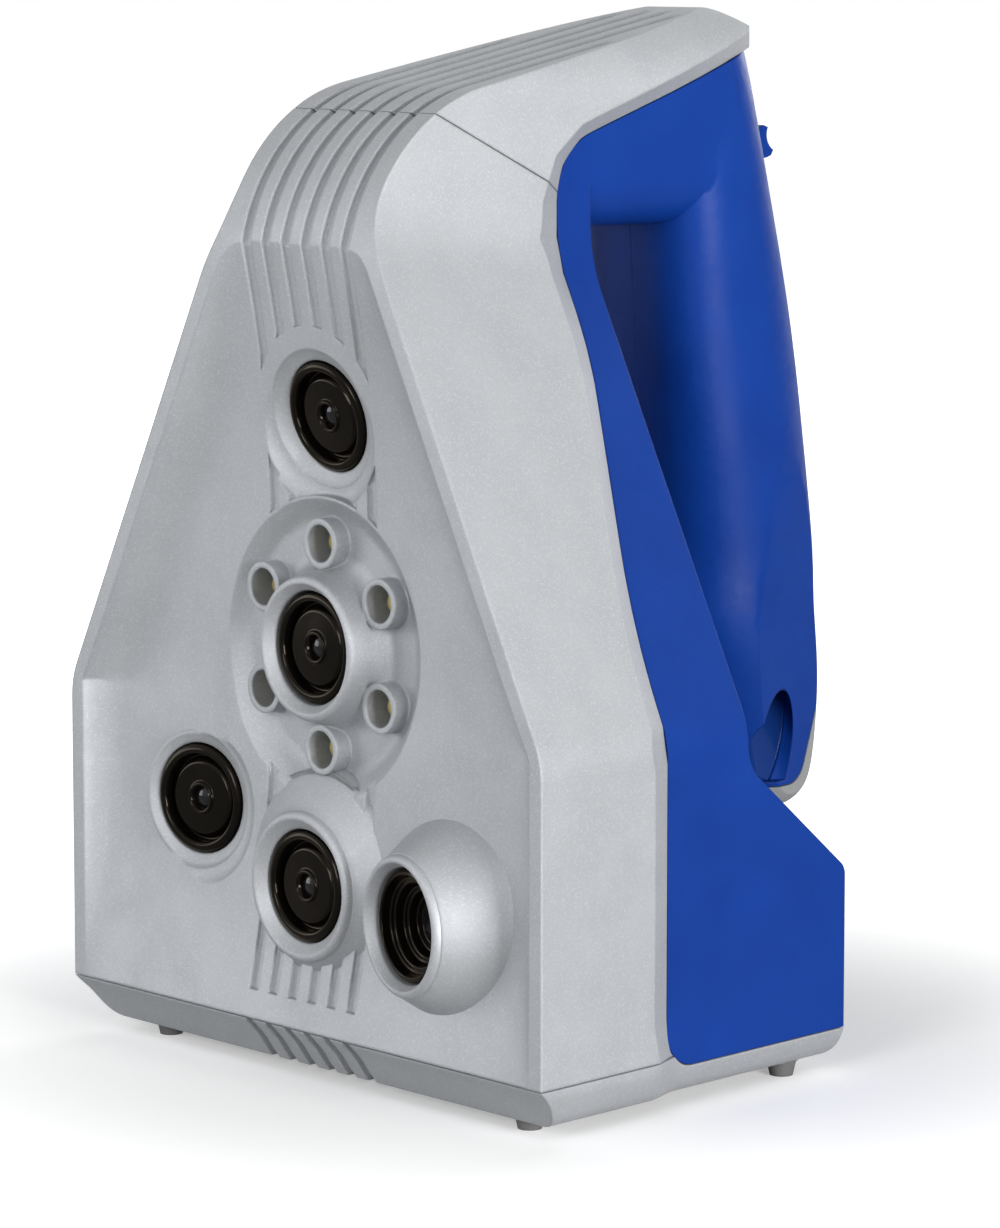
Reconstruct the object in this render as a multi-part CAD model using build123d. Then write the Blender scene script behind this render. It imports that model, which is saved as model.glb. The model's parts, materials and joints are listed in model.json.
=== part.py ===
from build123d import *
import os
from math import copysign, cos, radians, sin, sqrt, tan

# Handheld structured-light scanner. Millimetres and degrees.
# X runs across the scanner, Y from the lenses back to the grip, Z up from the table.
# While modelling, Y is counted from the front rim. The finished pieces are moved so that
# the middle of the depth lies on Y = 0.

# Overall form
width = 130.0
height = 190.5
foot_height = 4.0
rim_reach = 5.285
grip_rear = 123.6
overrun = 6.0
seam_gap = 0.2
wall = 2.6

# Front outline: upright flanks, slanted flanks, narrow neck
flank_top = 66.6
neck_below = 34.8815
taper_share = 0.085
knee_radius = 14.0
flank_wall = 4.5
blue_inset = 2.5
neck_half = 19.2
neck_blend = 28.0
neck_root = 100.0
wedge_top_share = 0.85
shoulder_below = 16.5
shoulder_radius = 16.8

# Side profile: brow, rising top, rear of the top cover, finger gap, rear slope
top_slope = 11.5
top_end = 93.0
brow_radius = 35.0
tail_run = 7.5
tail_drop = 5.2
tail_radius = 5.0
tail_back = 1.0
tail_half = 15.5
tail_corner = 13.5
tail_start = 84.0
bridge_drop = 9.0
gap_front = 55.5
ceiling_below = 39.5
gap_ceiling_radius = 7.0
ridge_below = 29.5
scoop_half = 6.0
scoop_bow_share = 0.62
gap_foot = 59.0
gap_foot_radius = 8.0
body_rear = 82.3
rear_step = 37.5
rear_step_radius = 3.0

# Lines where the casing pieces meet
base_seam = 10.5
base_run = 6.4
base_round = 6.2
base_rear_round = 3.0
top_seam_front = 16.6
top_seam_drop_share = 0.478
blue_front = 34.2
blue_waist = 47.3
blue_bottom = 8.0
blue_corner_radius = 7.0
blue_low_bend = 82.0
blue_low_radius = 120.0
blue_bend_below = 60.5
blue_high_radius = 60.0
blue_corner_below = 24.7
blue_top_radius = 12.0
blue_top_slope = 18.6
bevel_run = 5.6
bevel_top_share = 0.5
bevel_stations = 36
bevel_past_share = 0.45

# Dished front face and its ribs
rim_width = 3.2
dish_depth = 6.8
dish_below = 38.5
cove_width = 14.0
cove_limit_share = 0.45
dish_low_shares = ((0.0, 0.04), (0.17, 0.34), (0.42, 0.70), (0.70, 0.86), (1.0, 0.94))
dish_high_shares = ((0.0, 0.94), (0.2, 1.0), (0.4, 1.0), (0.6, 0.88), (0.78, 0.58), (0.9, 0.3),
                    (1.0, 0.06))
cove_rise_share = 0.125
cove_fall_share = 0.75
groove_count = 6
groove_pitch = 5.4
groove_width = 2.5
groove_depth = 0.7
groove_bottom = 15.5
groove_rear = 88.0
groove_edge = 0.8
vent_radius = 0.8
vent_start = 34.0
vent_pitch = 9.25
vent_counts = (6, 4, 4)

# Lens stations: set back of the black window from the rim, height, turn to the middle, tilt
lens_radius = 10.0
lens_clearance = 0.3
top_camera_back = 7.4
top_camera_height = 119.3
top_camera_tilt = 12.0
texture_camera_back = 4.2
texture_camera_height = 78.7
centre_camera_back = 1.9
centre_camera_height = 36.2
left_camera_side = 35.0
left_camera_back = 6.0
left_camera_height = 47.0
left_camera_turn = 9.4
projector_side = 32.2
projector_ahead = 1.5
projector_height = 34.3
projector_turn = 9.5
lens_places = {
    "top_camera": (0, top_camera_back, top_camera_height, 0, top_camera_tilt),
    "texture_camera": (0, texture_camera_back, texture_camera_height, 0, 0),
    "centre_camera": (0, centre_camera_back, centre_camera_height, 0, 0),
    "left_camera": (-left_camera_side, left_camera_back, left_camera_height, left_camera_turn, 0),
    "projector": (projector_side, -projector_ahead, projector_height, -projector_turn, 0),
}
bowl_radius = 16.4
bowl_rise = 3.2
bowl_ledge = 12.9
bowl_ledge_rise = 0.9
bowl_lip = 0.8
bowl_pad_depth = 4.6
centre_cone_rim = 13.5
centre_cone_base = 20.5
centre_cone_depth = 4.6
centre_cone_lip = 1.3
projector_cone_rim = 12.5
projector_cone_base = 18.5
projector_cone_depth = 8.8
projector_cone_lip = 1.9
cones = {
    "centre_camera": (centre_cone_rim, centre_cone_base, centre_cone_depth, centre_cone_lip),
    "projector": (projector_cone_rim, projector_cone_base, projector_cone_depth, projector_cone_lip),
}
cone_round = 0.9
mouth_slope = 1.1
mouth_fall = 1.7
collar_radius = 12.9
collar_rise = 1.8
collar_base = 17.4
sleeve_radius = 12.6
sleeve_length = 8.0

# Sunk ring round the texture camera: mouth in the dish, floor behind the black window
ring_mouth = 28.5
ring_mouth_back = 1.2
ring_ease = 2.7
ring_foot = 21.6
ring_floor = 5.2
ring_wall = 2.2
ring_back = 26.8

# Flash lamps round the texture camera
lamp_count = 6
lamp_circle = 18.4
lamp_well = 3.4
lamp_rim = 4.5
lamp_rim_back = 1.9
lamp_radius = 2.5
lamp_length = 3.0
ring_board_inner = 13.2
ring_board_outer = 24.0
ring_board_gap = 0.3
board_thickness = 1.6

# Barrels, glasses, bench and boards
bench_front = 24.0
bench_thickness = 3.0
bench_margin = 5.0
bench_bottom = 14.0
bench_top = 136.0
bench_clearance = 0.08
barrel_rear_gap = 3.5
barrel_step = 9.0
barrel_neck = 8.5
barrel_lip = 0.7
channel_outer = 8.1
channel_inner = 7.3
channel_depth = 2.6
disc_back = 0.9
disc_round = 0.5
eye_radius = 2.9
eye_ahead = 0.5
eye_mouth = 2.3
funnel_mouth = 8.5
funnel_narrowing = 1.6
funnel_first = 1.9
funnel_second = 3.7
funnel_draft = 0.4
camera_glass_radius = 1.9
camera_glass_back = 1.5
projector_glass_radius = 3.6
projector_glass_back = 5.4
glass_depth = 1.6
glass_crown = 0.5
crown_share = 0.75
barrel_bore = 1.4
sensor_board_size = 21.0
sensor_hole = 1.1
sensor_hole_inset = 2.2
lamp_house_size = 25.0
lamp_house_depth = 9.0
fin_count = 6
fin_thickness = 1.4
fin_depth = 5.0
sink_plate = 1.5
post_radius = 3.6
low_post_inset = 11.0
low_post_height = 20.0
high_post_side = 32.0
high_post_height = 100.0
post_places = ((width / 2 - low_post_inset, low_post_height), (high_post_side, high_post_height))
screw_radius = 1.5
screw_head_radius = 2.7
screw_head = 1.6
screw_grip = 7.0

# Main board and power board
main_board_front = 44.0
main_board_half = 30.0
main_board_bottom = 52.0
main_board_top = 108.0
standoff_radius = 2.4
standoff_inset = 5.0
chip_size = 16.0
chip_rise = 1.4
chip_height = 70.0
chip_pitch = 24.0
power_board_half = 38.0
power_board_front = 58.0
power_board_rear = 77.0
power_board_height = 13.0
base_post_radius = 3.2
base_post_inset = 4.0

# Feet and base screws
foot_top_radius = 3.1
foot_bottom_radius = 2.1
foot_seat = 1.0
foot_inset = 15.0
foot_front = 11.0
foot_rear = 72.0
foot_ring = 4.6

# Grip. Each row of shares: height, finger side and rear side of the depth, half width,
# squareness of the finger side
grip_bottom = 39.4
grip_below = 0.5
grip_front = 79.0
grip_half = 17.6
grip_section_shares = (
    (0.0, 0.572, 0.897, 0.511, 0.0),
    (0.0173, 0.516, 0.948, 0.682, 0.0),
    (0.0438, 0.448, 0.973, 0.818, 0.0),
    (0.0903, 0.363, 0.989, 0.926, 0.0),
    (0.1633, 0.258, 1.0, 0.983, 0.05),
    (0.3028, 0.168, 0.971, 1.0, 0.25),
    (0.5086, 0.098, 0.879, 1.0, 0.65),
    (0.7344, 0.042, 0.713, 0.982, 1.0),
    (0.8406, 0.015, 0.617, 0.965, 1.0),
    (0.9402, 0.0, 0.545, 0.864, 1.0),
    (1.0, -0.01, 0.493, 0.739, 1.0),
)
grip_square = 1.6
grip_points = 16
grip_wall = 2.6
flat_half = 16.6
flat_back = 108.0
flat_height = 104.0
flat_yaw = 13.0
flat_lean = 3.6
cap_height = 43.4
cap_turn = 115.5
cap_rear_height = 66.0
cap_turn_radius = 5.0
cap_lean = 9.0

# Cable pockets with their sockets
pocket_radius = 5.8
pocket_tilt = 26.0
pocket_side = 14.2
pocket_back = 106.2
pocket_height = 49.0
pocket_depth = 14.2
pocket_floor = 1.2
block_top = 74.0
block_clearance = 0.1
socket_radius = 3.6
socket_length = 8.5
socket_lip = 1.0
jack_bore = 2.75
jack_pin = 0.9
data_long = 2.9
data_short = 1.5
tongue_long_share = 0.67
tongue_short_share = 0.4

# Rocker on the back of the grip
rocker_below = 25.5
rocker_rear = 108.5
rocker_lean = 19.0
rocker_half = 7.0
rocker_tall = 6.0
rocker_rise = 1.9
rocker_dip = 0.9
rocker_root = 7.6
rocker_foot_share = 0.6
rocker_lip_share = 0.75
rocker_side_gap = 0.4
rocker_end_gap = 0.9
rocker_pin_radius = 1.0
rocker_pin_depth = 6.0
rocker_pin_gap = 0.04
rocker_prong = 1.2
rocker_prong_place = 1.4
lug_thickness = 2.4
lug_width = 5.0
lug_cover = 0.8
switch_depth = 11.4
switch_height = 2.0
switch_size = 3.4
switch_gap = 0.4
switch_board_width = 20.0
switch_board_tall = 9.0
switch_post_radius = 1.4
switch_post_place = 8.4
switch_post_top = 5.4

# Screws through the grip halves
upper_bolt_back = 101.5
upper_bolt_below = 54.5
lower_bolt_back = 104.5
lower_bolt_height = 92.0
body_bolt_back = 72.0
body_bolt_height = 24.0
bolt_places = (
    (upper_bolt_back, height - upper_bolt_below, grip_half),
    (lower_bolt_back, lower_bolt_height, grip_half),
    (body_bolt_back, body_bolt_height, None),
)
bolt_boss_radius = 3.8
bolt_core = 1.2
bolt_head_depth = 3.0
bolt_reach = 9.0

# Fan under the vents
fan_size = 25.0
fan_depth = 8.0
fan_place = 46.0
fan_drop = 5.2
fan_bore = 11.6
fan_hub = 6.2
fan_shaft = 1.0
fan_shaft_gap = 0.05
fan_blade_gap = 0.5
fan_blades = 7
fan_blade_thickness = 0.9
fan_blade_pitch = 38.0
fan_plate = 1.2
fan_strut = 1.8
fan_struts = 3
fan_blade_share = 0.8
fan_end_gap = 0.4
fan_corner = 2.8
fan_hole = 1.3
fan_post_radius = 2.4

# Values that follow from the ones above
half_width = width / 2
slant_share = (half_width - neck_half) / (height - neck_below - flank_top)
neck_crease = height - shoulder_below
gap_ceiling = height - ceiling_below
gap_ridge = height - ridge_below
blue_high_bend = height - blue_bend_below
blue_top_corner = height - blue_corner_below
dish_top = height - dish_below
grip_top = height - grip_below
rocker_height = height - rocker_below
slant_stretch = sqrt(1 + slant_share**2)
foot_half = half_width - foot_inset
brow_corner = height - top_end * tan(radians(top_slope))
depth = rim_reach + grip_rear
rim_place = rim_reach - depth / 2
bench_rear = bench_front + bench_thickness
brow_start = brow_corner - brow_radius * tan(radians((90 - top_slope) / 2))
top_seam_height = brow_start + sqrt(brow_radius**2 - (brow_radius - top_seam_front) ** 2)
far = 2 * height


def front_plane(y):
    """The upright plane across the scanner at depth y: sketch x is X, sketch y is Z."""
    return Plane(origin=(0, y, 0), x_dir=(1, 0, 0), z_dir=(0, -1, 0))


def side_prism(face):
    """A side-view face (Y, Z) carried right across the scanner."""
    return extrude(Plane.YZ * face, amount=half_width + overrun, both=True)


def face_of(*lines):
    """The flat face inside lines that close on each other."""
    return make_face([edge for line in lines for edge in line.edges()])


def polygon(points):
    return make_face(Polyline(*points, close=True))


def rounded(points, radii):
    return make_face(FilletPolyline(*points, radius=list(radii), close=True))


def turned(*edges):
    """A half section drawn as radius and height, turned about Z."""
    return revolve(Plane.XZ * face_of(*edges), axis=Axis.Z)


def turned_outline(points):
    return turned(Polyline(*points, close=True))


def rod(radius, low, high):
    """A cylinder on the Z axis between two heights."""
    return Pos(0, 0, low) * Cylinder(radius, high - low, align=(Align.CENTER, Align.CENTER, Align.MIN))


def block(low, high):
    """A box between two corners."""
    size = [b - a for a, b in zip(low, high)]
    return Pos(*low) * Box(*size, align=(Align.MIN, Align.MIN, Align.MIN))


def both_sides(solid):
    return solid + mirror(solid, about=Plane.YZ)


def along_y(radius, x, z, start, end):
    """A cylinder lying along Y."""
    return Plane(origin=(x, end, z), z_dir=(0, -1, 0)) * rod(radius, 0, end - start)


def along_x(radius, y, z, start, end):
    """A cylinder lying along X."""
    return Plane(origin=(start, y, z), z_dir=(1, 0, 0)) * rod(radius, 0, end - start)


def one_solid(shape):
    """The largest solid of a cut shape, without slivers."""
    return max(shape.solids(), key=lambda solid: solid.volume)


# Outer form of the casing

def shoulder_half(z, inset):
    """Half width of the neck at height z: upright, then a quarter round over the shoulder."""
    rise, radius = max(z - neck_crease, 0), shoulder_radius - inset
    return neck_half - shoulder_radius + sqrt(max(radius**2 - rise**2, 0))


def flank_half(y, z, inset):
    """Half width of the casing at depth y and height z."""
    upright = half_width - taper_share * y
    slanted = upright - slant_share * (z - flank_top)
    lower = min(upright - inset, slanted - inset * slant_stretch)
    return max(lower, shoulder_half(z, inset))


def wedge_face(y, inset):
    """The lower casing across the scanner: upright flanks and slanted flanks."""
    upright = half_width - taper_share * y - inset
    knee = flank_top - inset * (slant_stretch - 1) / slant_share
    top = flank_top + (half_width - neck_half * wedge_top_share) / slant_share
    shoulder = upright - slant_share * (top - knee)
    half = ((upright, 0), (upright, knee), (shoulder, top))
    bends = (0, knee_radius, 0)
    return rounded([*half, *[(-x, z) for x, z in reversed(half)]], [*bends, *bends])


def neck_face(inset):
    """The upper casing across the scanner: upright neck and round shoulders."""
    side, radius, middle = neck_half - inset, shoulder_radius - inset, neck_half - shoulder_radius
    bend, top = radius * sin(radians(45)), neck_crease + radius
    right = ThreePointArc((side, neck_crease), (middle + bend, neck_crease + bend), (middle, top))
    left = ThreePointArc((-middle, top), (-middle - bend, neck_crease + bend), (-side, neck_crease))
    foot = Polyline((-side, neck_crease), (-side, neck_root), (side, neck_root), (side, neck_crease))
    return face_of(right, Line((middle, top), (-middle, top)), left, foot)


def body_profile():
    """Side view of the casing, from the front rim round the finger gap to the rear step."""
    tail = (top_end + tail_run, height - tail_drop)
    tail_low = (tail[0] + tail_back, tail[1] - bridge_drop)
    points = (
        (0, foot_height),
        (0, brow_corner),
        (top_end, height),
        tail,
        tail_low,
        (tail_low[0], gap_ceiling),
        (gap_front, gap_ceiling),
        (gap_front, gap_foot),
        (body_rear, rear_step),
        (body_rear, foot_height),
    )
    radii = (0, brow_radius, tail_radius, tail_radius / 2, 0, 0, gap_ceiling_radius,
             gap_foot_radius, rear_step_radius, 0)
    return rounded(points, radii)


def casing(flank_inset, profile_inset):
    """The whole casing without the grip, drawn in by separate amounts."""
    ends = (-overrun, top_end + tail_run + tail_back + overrun)
    wedge = loft([front_plane(y) * wedge_face(y, flank_inset) for y in ends])
    neck = extrude(front_plane(ends[1]) * neck_face(flank_inset), amount=ends[1] - ends[0])
    form = wedge + neck
    side = neck_half - flank_inset
    creases = [e for e in form.edges() if abs(abs(e.center().X) - side) < seam_gap
               and neck_root + overrun < e.center().Z < neck_crease - overrun and e.length > body_rear]
    form = fillet(creases, neck_blend)
    profile = body_profile()
    if profile_inset > 0:
        profile = offset(profile, amount=-profile_inset)
    return form & side_prism(profile)


def tail_plan(inset):
    """Plan view of the top cover's rounded rear end, carried up through the casing."""
    rear, side, start = top_end + tail_run + tail_back - inset, tail_half - inset, tail_start - inset
    half = ((half_width, -overrun), (half_width, start), (neck_half, start), (side, rear))
    bends = (0, 0, 0, tail_corner)
    outline = rounded([*half, *[(-x, y) for x, y in reversed(half)]], [*bends, *reversed(bends)])
    return extrude(outline, amount=far)


def blue_line():
    """Side view of the line where the silver shells meet the blue rear housing."""
    top_rear = top_end + tail_run + tail_back + overrun
    rise = (top_rear - blue_waist) * tan(radians(blue_top_slope))
    points = (
        (body_rear + overrun, blue_bottom),
        (blue_front, blue_bottom),
        (blue_front, blue_low_bend),
        (blue_waist, blue_high_bend),
        (blue_waist, blue_top_corner),
        (top_rear, blue_top_corner + rise),
    )
    radii = (blue_corner_radius, blue_low_radius, blue_high_radius, blue_top_radius)
    return points, radii


def rear_region(gap):
    """Everything behind the blue line, set back by a seam gap."""
    points, radii = blue_line()
    outer = ((far, points[-1][1]), (far, blue_bottom))
    face = rounded([*points, *outer], [0, *radii, 0, 0, 0])
    if gap > 0:
        face = offset(face, amount=-gap)
    return side_prism(face)


def bevel_tool():
    """The slanting strip that leads from the silver flank down to the blue surface."""
    points, radii = blue_line()
    start = (blue_front + blue_corner_radius + overrun, blue_bottom)
    line = FilletPolyline(start, *points[1:], radius=list(radii))
    sections = []
    for step in range(bevel_stations + 1):
        share = step / bevel_stations
        place = line.position_at(share)
        along = line.tangent_at(share)
        run = bevel_run * (1 - (1 - bevel_top_share) * max(along.X, 0))
        ahead = (place.X - along.Y * run, place.Y + along.X * run)
        outer = Vector(flank_half(*ahead, 0), *ahead)
        inner = Vector(flank_half(place.X, place.Y, blue_inset), place.X, place.Y)
        start_point = outer + (outer - inner) * bevel_past_share
        end_point = inner - (outer - inner) * bevel_past_share
        away = Vector(outer.X + overrun, inner.Y, inner.Z)
        sections.append(Wire.make_polygon([start_point, end_point, away]))
    return both_sides(Solid.make_loft(sections, ruled=True))


def top_region(gap):
    """Everything above the seam between front shell and top cover."""
    def seam(y):
        return top_seam_height + gap - top_seam_drop_share * (y - top_seam_front)
    corners = ((-overrun, seam(-overrun)), (far, seam(far)), (far, far), (-overrun, far))
    return side_prism(polygon(corners))


# Dished front face

def dish_section(z, depth_share, spread):
    """Cut across the dish at height z: coved sides and a flat floor."""
    rim = rim_width * (slant_stretch if z > flank_top else 1)
    side = flank_half(0, z, 0) - rim + spread
    floor = dish_depth * depth_share + spread
    cove = min(cove_width, side * cove_limit_share)
    steep = (side - cove * cove_rise_share, floor * cove_fall_share)
    left = Bezier((-side, 0), (-steep[0], steep[1]), (-side + cove / 2, floor), (-side + cove, floor))
    right = Bezier((side - cove, floor), (side - cove / 2, floor), steep, (side, 0))
    edges = (
        Line((-side, -overrun), (-side, 0)),
        left,
        Line((-side + cove, floor), (side - cove, floor)),
        right,
        Line((side, 0), (side, -overrun)),
        Line((side, -overrun), (-side, -overrun)),
    )
    return Plane.XY.offset(z) * face_of(*edges)


def dish(spread):
    """The dish in two stretches that meet at the knee of the flanks."""
    low = [dish_section(base_seam + (flank_top - base_seam) * share, deep, spread)
           for share, deep in dish_low_shares]
    high = [dish_section(flank_top + (dish_top - flank_top) * share, deep, spread)
            for share, deep in dish_high_shares]
    return loft(low) + loft(high)


def groove_places():
    return [(n - (groove_count - 1) / 2) * groove_pitch for n in range(groove_count)]


def groove_end(x):
    """Depth at which the shoulder's round comes up to a groove, or the last groove end."""
    edge = abs(x) + groove_width / 2 + groove_edge - neck_half + shoulder_radius
    rise = sqrt(shoulder_radius**2 - edge**2)
    return min((neck_crease + rise - brow_corner) / tan(radians(top_slope)), groove_rear)


def groove_tool(form, low, high):
    """Slots sunk by the groove depth below a form, between two heights."""
    slots = [block((x - groove_width / 2, -overrun, low), (x + groove_width / 2, groove_end(x), high))
             for x in groove_places()]
    floor = Pos(0, groove_depth, -groove_depth) * form
    return Compound(slots) - floor


# Lens stations

def station(name):
    """Sketch plane of a lens: origin in the black window, Z out along the line of sight."""
    x, y, z, turn, tilt = lens_places[name]
    level = cos(radians(tilt))
    sight = (sin(radians(turn)) * level, -cos(radians(turn)) * level, -sin(radians(tilt)))
    return Plane(origin=(x, y, z), x_dir=(cos(radians(turn)), sin(radians(turn)), 0), z_dir=sight)


def cone_boss(rim, base, deep, lip):
    """A flared cone with a rounded lip that carries a lens, and its sleeve behind the wall."""
    waist = rim + (base - rim) / 3
    start, top = (rim, lip - cone_round), (rim - cone_round, lip)
    bend = (rim - cone_round / 3, lip - cone_round / 3)
    flare = Bezier((base, -deep), (waist, -deep), (rim + cone_round, -deep / 2), start)
    round_lip = ThreePointArc(start, bend, top)
    rest = Polyline(top, (0, lip), (0, -deep - sleeve_length), (sleeve_radius, -deep - sleeve_length),
                    (sleeve_radius, -deep), (base, -deep))
    return turned(flare, round_lip, rest)


def mouth_cut(rim, lip):
    """The funnel inside a lip that leads down to the black window."""
    outer, bore = rim - cone_round - mouth_slope / 3, lens_radius + lens_clearance
    return turned_outline(((0, lip + overrun), (outer, lip + overrun), (outer, lip),
                           (bore, lip - mouth_fall), (0, lip - mouth_fall)))


def bowl_sleeve():
    return rod(sleeve_radius, -sleeve_length, 0)


def bowl_pad(name):
    """Extra wall behind a bowl, so that the slanting crater stays closed."""
    x, _, z, _, _ = lens_places[name]
    return along_y(bowl_radius, x, z, 0, dish_depth + bowl_pad_depth) - dish(0)


def bowl_cut():
    """A shallow crater that opens towards the front in two rounded steps."""
    mouth = lens_radius + lens_clearance
    ledge, brim = (bowl_ledge, bowl_ledge_rise), (bowl_radius, bowl_rise)
    inner = Bezier((mouth, -bowl_lip), (mouth + bowl_lip, -bowl_lip / 2), (bowl_ledge - bowl_lip / 2, 0), ledge)
    outer = Bezier(ledge, (bowl_ledge + bowl_lip, bowl_ledge_rise), (bowl_radius - bowl_lip, bowl_ledge_rise * 2),
                   brim)
    rest = Polyline(brim, (bowl_radius, bowl_rise + overrun), (0, bowl_rise + overrun), (0, -bowl_lip),
                    (mouth, -bowl_lip))
    return turned(inner, outer, rest)


def ring_cut():
    """The round trough of the flash ring: a soft brim that falls to a flat floor."""
    brim, foot = (ring_mouth, -ring_mouth_back), (ring_foot, -ring_floor)
    fall = Bezier(brim, (ring_mouth - ring_ease, -2 * ring_mouth_back), (ring_foot + ring_ease, -ring_floor), foot)
    rest = Polyline(foot, (0, -ring_floor), (0, overrun), (ring_mouth, overrun), brim)
    return turned(fall, rest)


def lamp_spots():
    return [Rot(0, 0, 90 + 360 / lamp_count * n) * Pos(lamp_circle, 0) for n in range(lamp_count)]


def lens_bores():
    """The clear way for the five barrels and the six flash lamps."""
    bores = []
    for name in lens_places:
        bore = rod(lens_radius + lens_clearance, -far / 4, overrun)
        bores.append(station(name) * bore)
    for spot in lamp_spots():
        bores.append(station("texture_camera") * (spot * rod(lamp_well, -sleeve_length - overrun, overrun)))
    return bores


def bench_posts():
    """Posts behind the front wall that carry the optical bench."""
    return [along_y(post_radius, side * x, z, dish_depth, bench_front)
            for x, z in post_places for side in (-1, 1)]


def front_shell(silver, hollow):
    above_base = block((-far, -far, base_seam), (far, far, far))
    form = (silver & above_base) - top_region(0) - dish(0)
    shell = form - hollow
    shell -= groove_tool(form, groove_bottom, far)
    lens = {name: station(name) for name in lens_places}
    for post in bench_posts():
        shell += post
    for name in ("top_camera", "left_camera"):
        shell += bowl_pad(name)
        shell += lens[name] * bowl_sleeve()
        shell -= lens[name] * bowl_cut()
    ring = lens["texture_camera"]
    shell += ring * rod(ring_back, -ring_floor - ring_wall, -ring_floor / 2)
    shell -= ring * ring_cut()
    shell += ring * cone_boss(collar_radius, collar_base, ring_floor, collar_rise)
    for spot in lamp_spots():
        shell += ring * (spot * rod(lamp_rim, -ring_floor - ring_wall, -lamp_rim_back))
    for name, sizes in cones.items():
        shell += lens[name] * cone_boss(*sizes)
        shell -= lens[name] * mouth_cut(sizes[0], sizes[-1])
    shell -= ring * mouth_cut(collar_radius, collar_rise)
    for bore in lens_bores():
        shell -= bore
    for x, z in post_places:
        for side in (-1, 1):
            shell -= along_y(screw_radius, side * x, z, bench_front - screw_grip, bench_front + overrun)
    return one_solid(shell)


def top_cover(silver, hollow):
    form = silver & top_region(seam_gap)
    cover = form - hollow - groove_tool(form, 0, far)
    slope = tan(radians(top_slope))
    for row, count in enumerate(vent_counts):
        y = vent_start + row * vent_pitch
        top = brow_corner + y * slope
        for n in range(count):
            x = (n - (count - 1) / 2) * groove_pitch
            cover -= Pos(x, y, top) * rod(vent_radius, -overrun, overrun)
    for place in fan_corners():
        cover += fan_plane() * (Pos(*place) * rod(fan_post_radius, 0, fan_drop)) - casing_outside()
    for place in fan_corners():
        cover -= fan_plane() * (Pos(*place) * rod(fan_hole, -overrun, wall))
    return one_solid(cover)


def casing_outside():
    """The space outside the middle of the top wall, to trim posts that rise into the cover."""
    slope = tan(radians(top_slope))
    rise = brow_corner - wall / 2
    return side_prism(polygon(((0, rise), (far, rise + far * slope), (far, 2 * far), (0, 2 * far))))


def base_face(y):
    """The base across the scanner at depth y: flanks that round under towards the table."""
    half, top = half_width - taper_share * y, base_seam - seam_gap
    points = ((half, top), (half, foot_height), (-half, foot_height), (-half, top))
    return rounded(points, (0, base_round, base_round, 0))


def base_form():
    """The base under the seam, with a slanting front."""
    top = base_seam - seam_gap
    profile = ((0, top), (base_run, foot_height), (body_rear, foot_height), (body_rear, top))
    tray = loft([front_plane(y) * base_face(y) for y in (-overrun, body_rear + overrun)])
    return tray & side_prism(rounded(profile, (0, 0, base_rear_round, 0)))


def base_posts():
    """Places of the power board posts on the base."""
    x = power_board_half - base_post_inset
    return [(side * x, y) for side in (-1, 1)
            for y in (power_board_front + base_post_inset, power_board_rear - base_post_inset)]


def foot_places():
    return [(side * foot_half, y) for side in (-1, 1) for y in (foot_front, foot_rear)]


def base_cover(hollow):
    form = base_form() - rear_region(0)
    behind_front = block((-far, base_run + wall, 0), (far, far, far))
    cover = form - (hollow & behind_front)
    floor = foot_height + wall
    for x, y in foot_places():
        cover += Pos(x, y) * rod(foot_ring, foot_height, floor)
    for x, y in base_posts():
        cover += Pos(x, y) * rod(base_post_radius, foot_height + wall / 2, power_board_height)
    for x, y in foot_places():
        cover -= Pos(x, y) * rod(foot_top_radius, 0, foot_height + foot_seat)
    for x, y in base_posts():
        cover -= Pos(x, y) * rod(bolt_core, floor, power_board_height + overrun)
    slots = [block((x - groove_width / 2, -overrun, 0), (x + groove_width / 2, foot_front, base_seam))
             for x in groove_places()]
    cover -= Compound(slots) - Pos(0, groove_depth, groove_depth) * form
    return one_solid(cover)


# Blue rear housing with the grip

def grip_section(shares, inset):
    """One level of the grip: an oval whose finger side is squarer than its rear."""
    depth_here = grip_rear - grip_front
    front = grip_front + shares[1] * depth_here
    rear = grip_front + shares[2] * depth_here
    across = grip_half * shares[3] - inset
    along = (rear - front) / 2 - inset
    points = []
    for n in range(grip_points):
        turn = radians(360 / grip_points * n)
        power = 2 / (2 + grip_square * shares[4]) if sin(turn) < 0 else 1
        x = copysign(abs(cos(turn)) ** power, cos(turn)) * across
        y = copysign(abs(sin(turn)) ** power, sin(turn)) * along
        points.append((x, (front + rear) / 2 + y))
    return face_of(Spline(*points, periodic=True))


def grip_form(inset):
    """The grip as a loft of ovals, with a flat on each side near its lower end."""
    tall = grip_top - grip_bottom
    form = loft([Plane.XY.offset(grip_bottom + row[0] * tall) * grip_section(row, inset)
                 for row in grip_section_shares])
    yaw, lean = radians(flat_yaw), radians(flat_lean)
    out = Vector(cos(yaw) * cos(lean), sin(yaw) * cos(lean), -sin(lean))
    origin = Vector(flat_half, flat_back, flat_height) - out * inset
    slab = Box(far, far, far, align=(Align.CENTER, Align.CENTER, Align.MIN))
    return form - both_sides(Plane(origin=origin, z_dir=out) * slab)


def behind_grip():
    """The space behind the widest line of the grip, where the bridge gives way to its round."""
    def middle(row):
        shares = grip_section_shares[row]
        y = grip_front + (shares[1] + shares[2]) / 2 * (grip_rear - grip_front)
        return (y, grip_bottom + shares[0] * (grip_top - grip_bottom))
    low, high = middle(-4), middle(-1)
    return side_prism(polygon((low, high, (high[0], far), (far, far), (far, low[1]))))


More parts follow.
